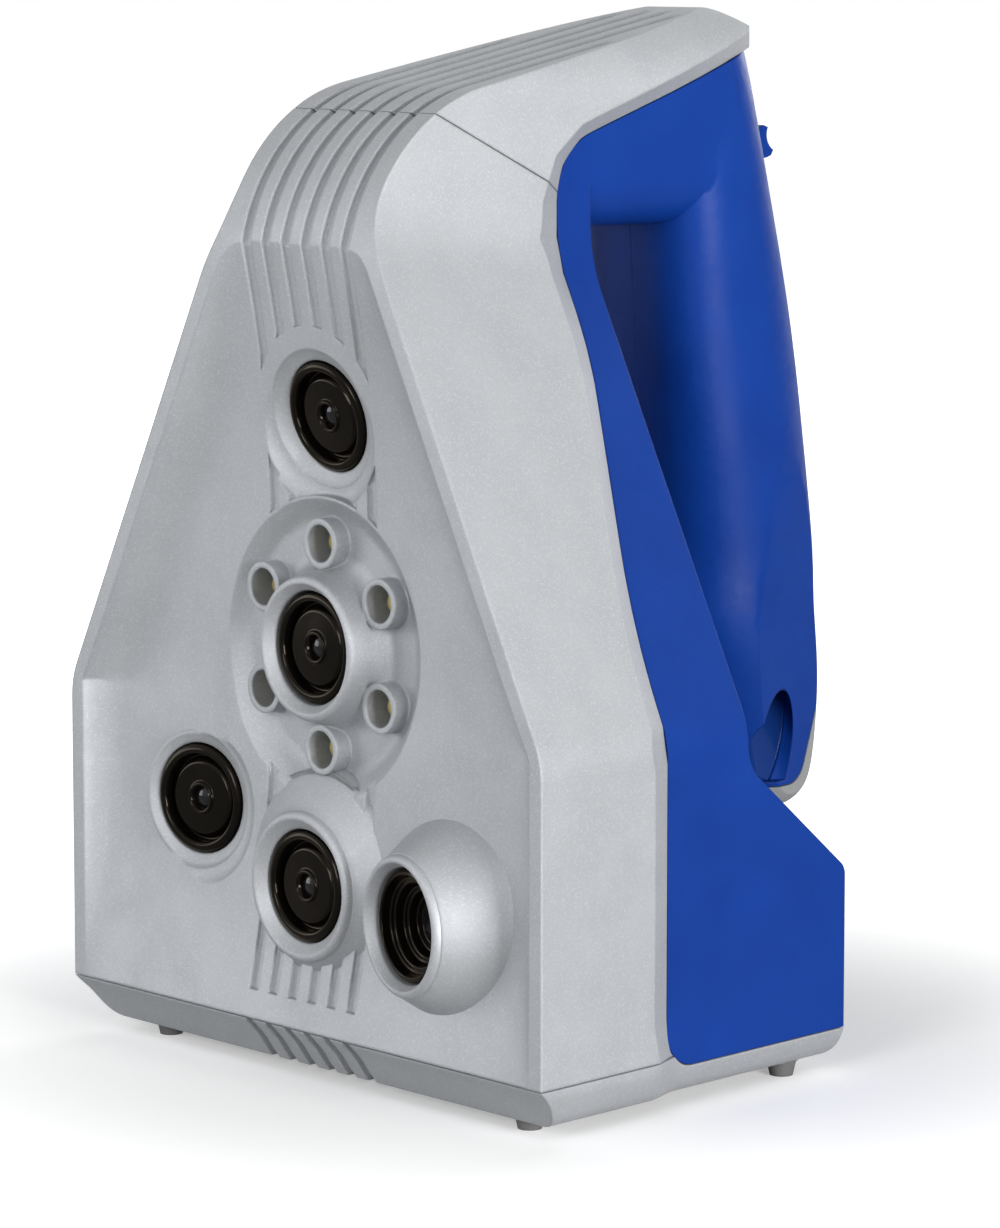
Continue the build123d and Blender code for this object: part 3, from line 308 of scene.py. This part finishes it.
# %% Finishes: mouldings
moulding_edge = 0.0005
blue_shades = ((0.0026, 0.027, 0.185), (0.0034, 0.033, 0.215))
pocket_shades = ((0.004, 0.022, 0.12), (0.006, 0.030, 0.16))
grey_shades = ((0.20, 0.205, 0.21), (0.26, 0.265, 0.27))
black_shades = ((0.012, 0.012, 0.013), (0.02, 0.02, 0.022))
rubber_shades = ((0.10, 0.10, 0.10), (0.14, 0.14, 0.138))
fan_shades = ((0.014, 0.014, 0.015), (0.024, 0.024, 0.026))
mouldings = {
    "blue_shell": ("blue_moulding", blue_shades, (0.36, 0.5), 3000.0, 0.00003),
    "blue_button": ("blue_rocker", blue_shades, (0.3, 0.42), 3000.0, 0.00002),
    "pocket_blue": ("polished_blue", pocket_shades, (0.08, 0.16), 900.0, 0.00001),
    "grey_cap": ("grey_moulding", grey_shades, (0.4, 0.55), 1900.0, 0.00004),
    "socket_black": ("socket_plastic", black_shades, (0.3, 0.45), 2200.0, 0.00003),
    "foot_rubber": ("foot_rubber", rubber_shades, (0.55, 0.75), 1200.0, 0.00008),
    "fan_plastic": ("fan_plastic", fan_shades, (0.38, 0.5), 1800.0, 0.00004),
}
for slot, row in mouldings.items():
    finishes[slot] = new_skin(*row, {"Specular IOR Level": 0.1}, moulding_edge)
print("mouldings:", len(mouldings))

# %% [markdown]
# ## Metals and the black lens skin
#
# Bench, heat sink, screws and barrels are metal. The barrels are black with a warm, bronze sheen, so
# their skin is nearly black, half metal, and smooth enough for thin glints on each rounded edge.

# %% Finishes: metals
metal_edge = 0.0002
bench_shades = ((0.50, 0.51, 0.52), (0.60, 0.61, 0.62))
blackened_shades = ((0.018, 0.018, 0.019), (0.03, 0.03, 0.032))
steel_shades = ((0.42, 0.42, 0.43), (0.52, 0.52, 0.53))
bronze_shades = ((0.0045, 0.0038, 0.0031), (0.0065, 0.0055, 0.0045))
bronze_sheen = (1.0, 0.84, 0.66, 1.0)
metals = {
    "bench_aluminium": ("bench_aluminium", bench_shades, (0.3, 0.42), 1500.0, 0.00002),
    "black_metal": ("black_metal", blackened_shades, (0.34, 0.48), 1800.0, 0.00002),
    "steel": ("screw_steel", steel_shades, (0.24, 0.36), 1600.0, 0.00001),
}
for slot, row in metals.items():
    finishes[slot] = new_skin(*row, {"Metallic": 1.0}, metal_edge)
finishes["lens_barrel"] = new_skin(
    "bronze_black", bronze_shades, (0.08, 0.16), 2400.0, 0.000004,
    {"Metallic": 0.5, "Specular IOR Level": 0.16, "Specular Tint": bronze_sheen,
     "Coat Weight": 0.04, "Coat Roughness": 0.06})
print("metals:", len(metals) + 1)

# %% [markdown]
# ## Glass, lamp resin and boards
#
# The eye of each lens is a dark coated glass, each flash lamp is a drop of yellowish resin, and the
# boards inside are green laminate with a faint net of tracks.

# %% Finishes: glass, resin and boards
glass_shades = ((0.004, 0.004, 0.005), (0.007, 0.007, 0.009))
resin_shades = ((0.36, 0.28, 0.08), (0.50, 0.41, 0.16))
board_shades = ((0.006, 0.06, 0.022), (0.01, 0.085, 0.03))
track_colour = (0.03, 0.17, 0.06)
finishes["lens_glass"] = new_skin(
    "coated_glass", glass_shades, (0.03, 0.07), 300.0, 0.000002,
    {"Specular IOR Level": 0.3, "Coat Weight": 0.08, "Coat Roughness": 0.03})
finishes["lamp_resin"] = new_skin(
    "lamp_resin", resin_shades, (0.12, 0.22), 500.0, 0.00001,
    {"Subsurface Weight": 0.2, "Subsurface Radius": (0.002, 0.0015, 0.0005)})


def board_laminate():
    """Green laminate: a brick net of tracks in a lighter green, over the common skin."""
    material = new_skin("board_laminate", board_shades, (0.25, 0.4), 900.0, 0.00002)
    tree = material.node_tree
    place = add_node(tree, "ShaderNodeTexCoord")
    net = add_node(tree, "ShaderNodeTexBrick", inputs={"Scale": 220.0, "Mortar Size": 0.04})
    join(tree, place.outputs["Object"], net.inputs["Vector"])
    lay_over(material, net.outputs["Fac"], track_colour)
    return material


finishes["circuit_board"] = board_laminate()
print("finishes:", len(finishes))

# %% [markdown]
# ## Dress the solids
#
# Every solid keeps its place. The record names a slot for each, so one pass gives each its finish.
# The mesh of a solid is loose triangles, so a curved one gets a merged copy with smooth shading, and
# edges that turn sharply stay crisp. Weighted normals keep flat faces flat beside the round ones. The
# two silver mouldings keep crisper edges, so that the bevel round the blue part reads as a strip.

# %% Give each solid its finish
crisp_angle, soft_angle = 20, 28
merge_gap = 0.000002
crisp_nodes = ("front_shell", "top_cover")
soft_nodes = ("base_cover", "rear_half_right", "rear_half_left", "grip_end_cap", "socket_block",
              "power_socket", "data_socket", "feet", "rocker_button", "rocker_pin", "flash_lamps")
node_slots = {entry["node"]: entry["material_slot"] for entry in frame["record"]["subparts"]}
for node, solid in frame["nodes"].items():
    solid.data.materials.clear()
    solid.data.materials.append(finishes[node_slots[node]])
print("dressed", len(node_slots), "of", len(frame["nodes"]))


def smooth_skin(node, angle):
    """A merged copy of a solid, smooth where its faces turn by less than the angle in degrees."""
    mesh = frame["nodes"][node].data.copy()
    shape = bmesh.new()
    shape.from_mesh(mesh)
    bmesh.ops.remove_doubles(shape, verts=shape.verts, dist=merge_gap)
    shape.to_mesh(mesh)
    shape.free()
    if "custom_normal" in mesh.attributes:
        mesh.attributes.remove(mesh.attributes["custom_normal"])
    mesh.shade_smooth()
    mesh.set_sharp_from_angle(angle=math.radians(angle))
    skin = bpy.data.objects.new(node + "_skin", mesh)
    scene.collection.objects.link(skin)
    even = skin.modifiers.new("even_light", "WEIGHTED_NORMAL")
    even.keep_sharp = True
    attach(skin, frame["nodes"][node]["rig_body"])
    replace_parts(skin, node)
    return skin


skins = {node: smooth_skin(node, crisp_angle) for node in crisp_nodes}
skins.update({node: smooth_skin(node, soft_angle) for node in soft_nodes})
print("smooth skins:", len(skins))

# %% [markdown]
# ## The base under the blue part
#
# On the real object the base narrows where the blue part starts, so that it lies flush below it, and
# its belly hangs a little lower between the feet. The solid stands out there as a ledge. One formula
# on all points of the base's merged copy draws its flanks in and lets the belly down. A new
# moulding could do the same, but then the seam with the front would have to be fitted again.

# %% Draw in the base
# Heights, then the line of the flanks, then the strip that narrows, all in millimetres
base_bottom, base_ledge_top, base_seam = 4.0, 8.0, 10.5
flank_half, flank_taper = 65.0, 0.085
flank_inner, flank_outer = 9.0, 5.0
narrow_start, narrow_run, narrow_lean = 29.4, 6.4, 0.55
narrow_by, belly_drop = 2.1, 1.5
depth_cuts = np.arange(narrow_start, narrow_start + 12.0, 1.5)
height_cuts = (5.5, 7.0, 8.5)


def ease(value, start, end):
    """Zero before the start, one past the end, and a smooth rise between them."""
    share = np.clip((value - start) / (end - start), 0.0, 1.0)
    return share * share * (3 - 2 * share)


def cut_across(mesh, direction, places):
    """Extra edges in a mesh where planes square to a direction cross it, at places in millimetres."""
    shape = bmesh.new()
    shape.from_mesh(mesh)
    for place in places:
        parts = [*shape.verts, *shape.edges, *shape.faces]
        bmesh.ops.bisect_plane(shape, geom=parts, plane_co=direction * place * millimetre, plane_no=direction)
    shape.to_mesh(mesh)
    shape.free()


def settle_base(mesh):
    """Points on the flanks go inwards behind a leaning line, and points near the bottom go down."""
    cut_across(mesh, Vector((0.0, 1.0, 0.0)), depth_cuts + rim_place)
    cut_across(mesh, Vector((0.0, 0.0, 1.0)), height_cuts)
    points = np.empty(len(mesh.vertices) * 3, np.float32)
    mesh.vertices.foreach_get("co", points)
    x, y, z = points.reshape(-1, 3).T / millimetre
    depth = y - rim_place
    flank = flank_half - flank_taper * depth
    start = narrow_start + narrow_lean * (base_seam - z)
    behind = np.clip((depth - start) / narrow_run, 0.0, 1.0)
    inward = narrow_by * behind * ease(np.abs(x), flank - flank_inner, flank - flank_outer)
    down = belly_drop * (1.0 - ease(z, base_bottom, base_ledge_top))
    moved = np.stack([x - np.sign(x) * inward, y, z - down], axis=1) * millimetre
    mesh.vertices.foreach_set("co", moved.astype(np.float32).reshape(-1))
    mesh.update()


settle_base(skins["base_cover"].data)
print("base drawn in by", narrow_by, "mm and let down by", belly_drop, "mm")

# %% [markdown]
# ## Turned pieces
#
# Lenses and cones are turned shapes: a profile carried round an axis. The surface is a grid of two
# parameters, the way along the profile and the turn round the axis, so whole arrays give all points
# at once.

# %% Turned surfaces
side_share = 0.48
turned_crease = 50
seam_gap = 0.000001


def rounded(points, cut, steps=5):
    """An open profile with its corners eased: each inner corner becomes a curve that starts and ends
    at a cut along its two sides, at most about half a side, and bends towards the corner."""
    points = np.asarray(points, float)
    before, corner, after = points[:-2], points[1:-1], points[2:]
    to_before, to_after = before - corner, after - corner
    back = np.linalg.norm(to_before, axis=1, keepdims=True)
    ahead = np.linalg.norm(to_after, axis=1, keepdims=True)
    start = corner + to_before * np.minimum(cut / back, side_share)
    end = corner + to_after * np.minimum(cut / ahead, side_share)
    t = np.linspace(0.0, 1.0, steps)[None, :, None]
    bend = (1 - t) ** 2 * start[:, None] + 2 * t * (1 - t) * corner[:, None] + t ** 2 * end[:, None]
    return np.concatenate([points[:1], bend.reshape(-1, 2), points[-1:]])


def grid_mesh(name, points):
    """A mesh from a grid of points: a face between each four neighbours, the last column joined to
    the first, points that meet merged, faces turned outwards."""
    rows, columns = points.shape[:2]
    index = np.arange(rows * columns).reshape(rows, columns)
    ahead = np.roll(index, -1, axis=1)
    faces = np.stack([index[:-1], ahead[:-1], ahead[1:], index[1:]], axis=-1).reshape(-1, 4)
    mesh = bpy.data.meshes.new(name)
    mesh.vertices.add(rows * columns)
    mesh.vertices.foreach_set("co", points.reshape(-1).astype(np.float32))
    mesh.loops.add(faces.size)
    mesh.loops.foreach_set("vertex_index", faces.reshape(-1).astype(np.int32))
    mesh.polygons.add(len(faces))
    mesh.polygons.foreach_set("loop_start", np.arange(0, faces.size, 4, dtype=np.int32))
    mesh.update(calc_edges=True)
    shape = bmesh.new()
    shape.from_mesh(mesh)
    bmesh.ops.remove_doubles(shape, verts=shape.verts, dist=seam_gap)
    bmesh.ops.recalc_face_normals(shape, faces=shape.faces)
    shape.to_mesh(mesh)
    shape.free()
    mesh.shade_smooth()
    mesh.set_sharp_from_angle(angle=math.radians(turned_crease))
    return mesh


def sight_frame(place, turn, tilt):
    """Origin and three axes of a lens: across, upwards and out along the line of sight."""
    turn, tilt = math.radians(turn), math.radians(tilt)
    out = np.array([math.sin(turn) * math.cos(tilt), -math.cos(turn) * math.cos(tilt), -math.sin(tilt)])
    across = np.array([math.cos(turn), math.sin(turn), 0.0])
    return np.array(place), across, np.cross(out, across), out


def turned_points(profile, seat, turns=96):
    """Profile points of radius and reach, carried round the sight line of a seat, in metres."""
    origin, across, up, out = seat
    angle = np.linspace(0.0, 2 * np.pi, turns, endpoint=False)
    ring = np.cos(angle)[:, None] * across + np.sin(angle)[:, None] * up
    radius, reach = profile[:, 0], profile[:, 1]
    points = origin + radius[:, None, None] * ring[None] + reach[:, None, None] * out
    return points * millimetre


def turned_piece(name, profile, seat, node):
    """A turned object on the scanner's body, in the finish and slot of a node."""
    piece = bpy.data.objects.new(name, grid_mesh(name, turned_points(profile, seat)))
    scene.collection.objects.link(piece)
    piece.data.materials.append(finishes[node_slots[node]])
    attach(piece, "scanner")
    return piece


print("turning tools ready")

# %% [markdown]
# ## The five lenses
#
# Each camera looks out of a black barrel: a rounded outer ring, a deep channel, a flat inner disc
# with a soft edge, and a small raised eye with its glass. The projector has no disc: its bore goes
# down in three steps to a wider glass. They sit on the same lines of sight as their solids.

# %% Turn the lenses
# Across, depth behind the rim and height in millimetres, then turn towards +X and tilt down in degrees
lens_places = {
    "top_camera": (0.0, 7.4, 119.3, 0.0, 12.0),
    "texture_camera": (0.0, 4.2, 78.7, 0.0, 0.0),
    "centre_camera": (0.0, 1.9, 36.2, 0.0, 0.0),
    "left_camera": (-35.0, 6.0, 47.0, 9.4, 0.0),
    "projector": (32.2, -1.5, 34.3, -9.5, 0.0),
}
lens_seats = {name: sight_frame((x, depth + rim_place, z), turn, tilt)
              for name, (x, depth, z, turn, tilt) in lens_places.items()}
# A barrel is as long as the way from the depth of its lens to barrel_rear
lens_radius, barrel_neck, barrel_bore = 10.0, 8.5, 1.4
barrel_step, barrel_rear = 9.0, 30.5
edge_cut = 0.32
glass_depth, glass_clearance, glass_crown = 1.6, 0.08, 0.5
glass_sizes = {"camera": (1.9, -1.5), "projector": (3.6, -5.4)}
barrel_faces = {
    "camera": [(lens_radius, -0.9), (9.8, -0.3), (9.2, 0.0), (8.5, 0.0), (8.15, -0.5), (8.05, -2.6),
               (7.35, -2.6), (7.3, -1.6), (6.6, -0.9), (3.0, -0.9), (2.85, -0.4), (2.35, -0.4), (1.95, -1.2)],
    "projector": [(lens_radius, -0.9), (9.8, -0.3), (9.3, 0.0), (8.9, 0.0), (8.5, -1.9), (7.3, -1.9),
                  (6.9, -3.7), (5.7, -3.7), (5.3, -5.4)],
}


def barrel_profile(kind, length):
    """The half section of a barrel: up its outside, in over its face, down its bore."""
    radius, back = glass_sizes[kind]
    outside = [(barrel_bore, -length), (barrel_neck, -length), (barrel_neck, -barrel_step),
               (lens_radius, -barrel_step)]
    bore = [(radius, back), (radius, back - glass_depth), (barrel_bore, back - glass_depth),
            (barrel_bore, -length)]
    return rounded([*outside, *barrel_faces[kind], *bore], edge_cut)


def glass_profile(kind, steps=14):
    """A lens crown: height falls with the square of the radius, then straight down to its seat."""
    radius, back = glass_sizes[kind]
    radius -= glass_clearance
    way = np.linspace(0.0, 1.0, steps)
    dome = np.stack([radius * way, back + glass_crown * (1 - way ** 2)], axis=1)
    return np.concatenate([dome, [[radius, back - glass_depth], [0.0, back - glass_depth]]])


for name, seat in lens_seats.items():
    kind = "projector" if name == "projector" else "camera"
    profile = barrel_profile(kind, barrel_rear - lens_places[name][1])
    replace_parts(turned_piece(name + "_black_barrel", profile, seat, name + "_barrel"), name + "_barrel")
    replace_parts(turned_piece(name + "_eye", glass_profile(kind), seat, name + "_glass"), name + "_glass")
print("lenses:", len(lens_seats))

# %% [markdown]
# ## The foot of the two cones
#
# The projector and the lower middle camera stand on cones of the front moulding that run down into
# the wall. A turned ring under each lip fills the hollow behind the solid's flare, so that no dark
# gap is left where the wall falls away. It is moulded in one with the shell on the real object.

# %% Turn the cone feet
foot_cut, foot_steps = 0.9, 6
cone_feet = {
    "projector": [(12.2, 0.4), (12.52, 0.9), (13.1, 0.0), (20.3, -11.0), (20.4, -13.0), (14.0, -13.0)],
    "centre_camera": [(13.2, -0.4), (13.5, 0.2), (14.0, -0.5), (19.6, -4.5), (20.7, -6.2), (20.9, -8.6),
                      (16.0, -8.6)],
}
for name, corners in cone_feet.items():
    profile = rounded(corners, foot_cut, foot_steps)
    turned_piece(name + "_cone_foot", profile, lens_seats[name], "front_shell")
print("cone feet:", len(cone_feet))

# %% [markdown]
# ## The studio
#
# A pale floor takes the shadow. Its own colour is lifted for the camera alone, so the paper looks
# white while the object gets no more light. Near the object it is lifted less, a painted shade round
# the object on top of its real shadow. The key lamp stands on the right, a second lamp near the camera,
# a broad fill on the left, and a soft lamp behind, so that the grip shows from there too.

# %% Floor
floor_reach, floor_lines = 4.0, 9
paper_colour = (0.8, 0.8, 0.8, 1.0)
white = (1.0, 1.0, 1.0, 1.0)
# The glow rises between these distances in metres; the smaller lift near the object is a painted shade
lift_start, lift_end = 0.05, 0.2
lift_near_painted_shade, lift_far = 0.3, 1.0


def floor_mesh():
    """A flat square grid under the feet, wide enough to fill the view."""
    side = np.linspace(-floor_reach, floor_reach, floor_lines)
    x, y = np.meshgrid(side, side)
    points = np.stack([x, y, np.zeros_like(x)], axis=-1)
    index = np.arange(floor_lines ** 2).reshape(floor_lines, floor_lines)
    faces = np.stack([index[:-1, :-1], index[:-1, 1:], index[1:, 1:], index[1:, :-1]], axis=-1)
    mesh = bpy.data.meshes.new("studio_floor")
    mesh.from_pydata(points.reshape(-1, 3).tolist(), [], faces.reshape(-1, 4).tolist())
    return mesh


def pale_paper():
    """Matt paper that, for the camera alone, glows more and more with the distance from the object, so the
    paper near it keeps a painted shade.
    """
    material = bpy.data.materials.new("pale_paper")
    material.use_nodes = True
    tree = material.node_tree
    tree.nodes.clear()
    output = add_node(tree, "ShaderNodeOutputMaterial")
    paper = add_node(tree, "ShaderNodeBsdfDiffuse", inputs={"Color": paper_colour})
    lift = add_node(tree, "ShaderNodeEmission", inputs={"Color": white})
    path = add_node(tree, "ShaderNodeLightPath")
    place = add_node(tree, "ShaderNodeTexCoord")
    away = add_node(tree, "ShaderNodeVectorMath", {"operation": "LENGTH"})
    # Less glow near the object: a painted shade round it, on top of its real shadow
    reach = add_node(tree, "ShaderNodeMapRange", {"interpolation_type": "SMOOTHSTEP"},
                     {"From Min": lift_start, "From Max": lift_end, "To Min": lift_near_painted_shade, "To Max": lift_far})
    amount = add_node(tree, "ShaderNodeMath", {"operation": "MULTIPLY"})
    both = add_node(tree, "ShaderNodeAddShader")
    join(tree, place.outputs["Object"], away.inputs[0])
    join(tree, away.outputs["Value"], reach.inputs["Value"])
    join(tree, path.outputs["Is Camera Ray"], amount.inputs[0])
    join(tree, reach.outputs["Result"], amount.inputs[1])
    join(tree, amount.outputs[0], lift.inputs["Strength"])
    join(tree, paper.outputs[0], both.inputs[0])
    join(tree, lift.outputs[0], both.inputs[1])
    join(tree, both.outputs[0], output.inputs["Surface"])
    return material


floor = bpy.data.objects.new("studio_floor", floor_mesh())
scene.collection.objects.link(floor)
floor.data.materials.append(pale_paper())
print("floor laid,", 2 * floor_reach, "m wide")

# %% World and lamps
soft_colour, soft_strength = (0.96, 0.98, 1.0, 1.0), 0.12
white_strength = 1.0
lamp_aim = Vector((0.0, 0.0, 0.1))
# Place and size in metres, power in watts, colour
studio_lamps = {
    "key_lamp": ((1.5, -0.2, 0.22), (0.6, 0.6), 35.0, (1.0, 0.995, 0.985)),
    "front_lamp": ((0.5, -1.5, 0.55), (0.6, 0.6), 12.0, (1.0, 1.0, 1.0)),
    "fill_lamp": ((-1.2, -1.15, 0.25), (0.9, 0.7), 7.0, (0.97, 0.985, 1.0)),
    "rear_lamp": ((-0.5, 1.5, 0.6), (0.9, 0.7), 9.0, (0.97, 0.985, 1.0)),
}


def studio_world():
    """White for what the camera, gloss and glass see, and a soft grey light for the rest."""
    world = bpy.data.worlds.new("studio_world")
    world.use_nodes = True
    tree = world.node_tree
    tree.nodes.clear()
    output = add_node(tree, "ShaderNodeOutputWorld")
    soft = add_node(tree, "ShaderNodeBackground", inputs={"Color": soft_colour, "Strength": soft_strength})
    bright = add_node(tree, "ShaderNodeBackground", inputs={"Color": white, "Strength": white_strength})
    path = add_node(tree, "ShaderNodeLightPath")
    seen = add_node(tree, "ShaderNodeMath", {"operation": "MAXIMUM"})
    clear = add_node(tree, "ShaderNodeMath", {"operation": "MAXIMUM"})
    pick = add_node(tree, "ShaderNodeMixShader")
    join(tree, path.outputs["Is Camera Ray"], seen.inputs[0])
    join(tree, path.outputs["Is Glossy Ray"], seen.inputs[1])
    join(tree, seen.outputs[0], clear.inputs[0])
    join(tree, path.outputs["Is Transmission Ray"], clear.inputs[1])
    join(tree, clear.outputs[0], pick.inputs["Fac"])
    join(tree, soft.outputs[0], pick.inputs[1])
    join(tree, bright.outputs[0], pick.inputs[2])
    join(tree, pick.outputs[0], output.inputs["Surface"])
    scene.world = world


def studio_lamp(name, place, size, power, colour):
    """A rectangular lamp that looks at the middle of the object."""
    data = bpy.data.lights.new(name, "AREA")
    data.shape = "RECTANGLE"
    data.size, data.size_y = size
    data.energy = power
    data.color = colour
    lamp = bpy.data.objects.new(name, data)
    lamp.location = place
    lamp.rotation_euler = (lamp_aim - Vector(place)).to_track_quat("-Z", "Y").to_euler()
    scene.collection.objects.link(lamp)


studio_world()
for name, row in studio_lamps.items():
    studio_lamp(name, *row)
print("lamps:", len(studio_lamps))
